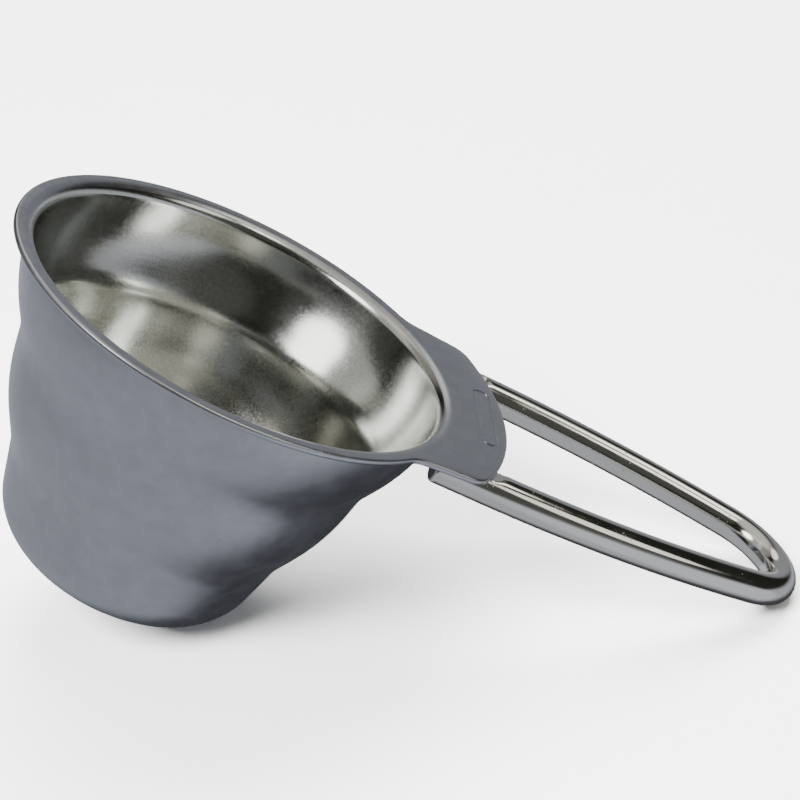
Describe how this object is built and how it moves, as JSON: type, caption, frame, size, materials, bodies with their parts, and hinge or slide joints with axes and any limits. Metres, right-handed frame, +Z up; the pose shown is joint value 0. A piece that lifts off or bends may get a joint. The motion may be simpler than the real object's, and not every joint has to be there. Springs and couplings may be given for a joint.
{
  "type": "measuring scoop",
  "caption": "Stainless steel measuring scoop with a tiered round bowl, a flat rim that runs out into a tab, and a bent wire loop handle welded under the tab.",
  "frame": {"origin": "on the table, under the middle of the scoop as it lies: the bottom centre of its box", "axes": "+Z up as the scoop lies on a table on its base corner and its bow, +X the way the handle points, +Y to the left of that"},
  "size_m": [0.1036, 0.06, 0.0553],
  "materials": {
    "sheet_steel": "satin outside, polished inside",
    "wire_steel": "polished",
    "weld_steel": "as welded, lightly heat tinted"
  },
  "bodies": {
    "root": {"scoop_bowl": "sheet_steel", "wire_handle": "wire_steel", "weld_left": "weld_steel", "weld_right": "weld_steel"}
  },
  "joints": []
}
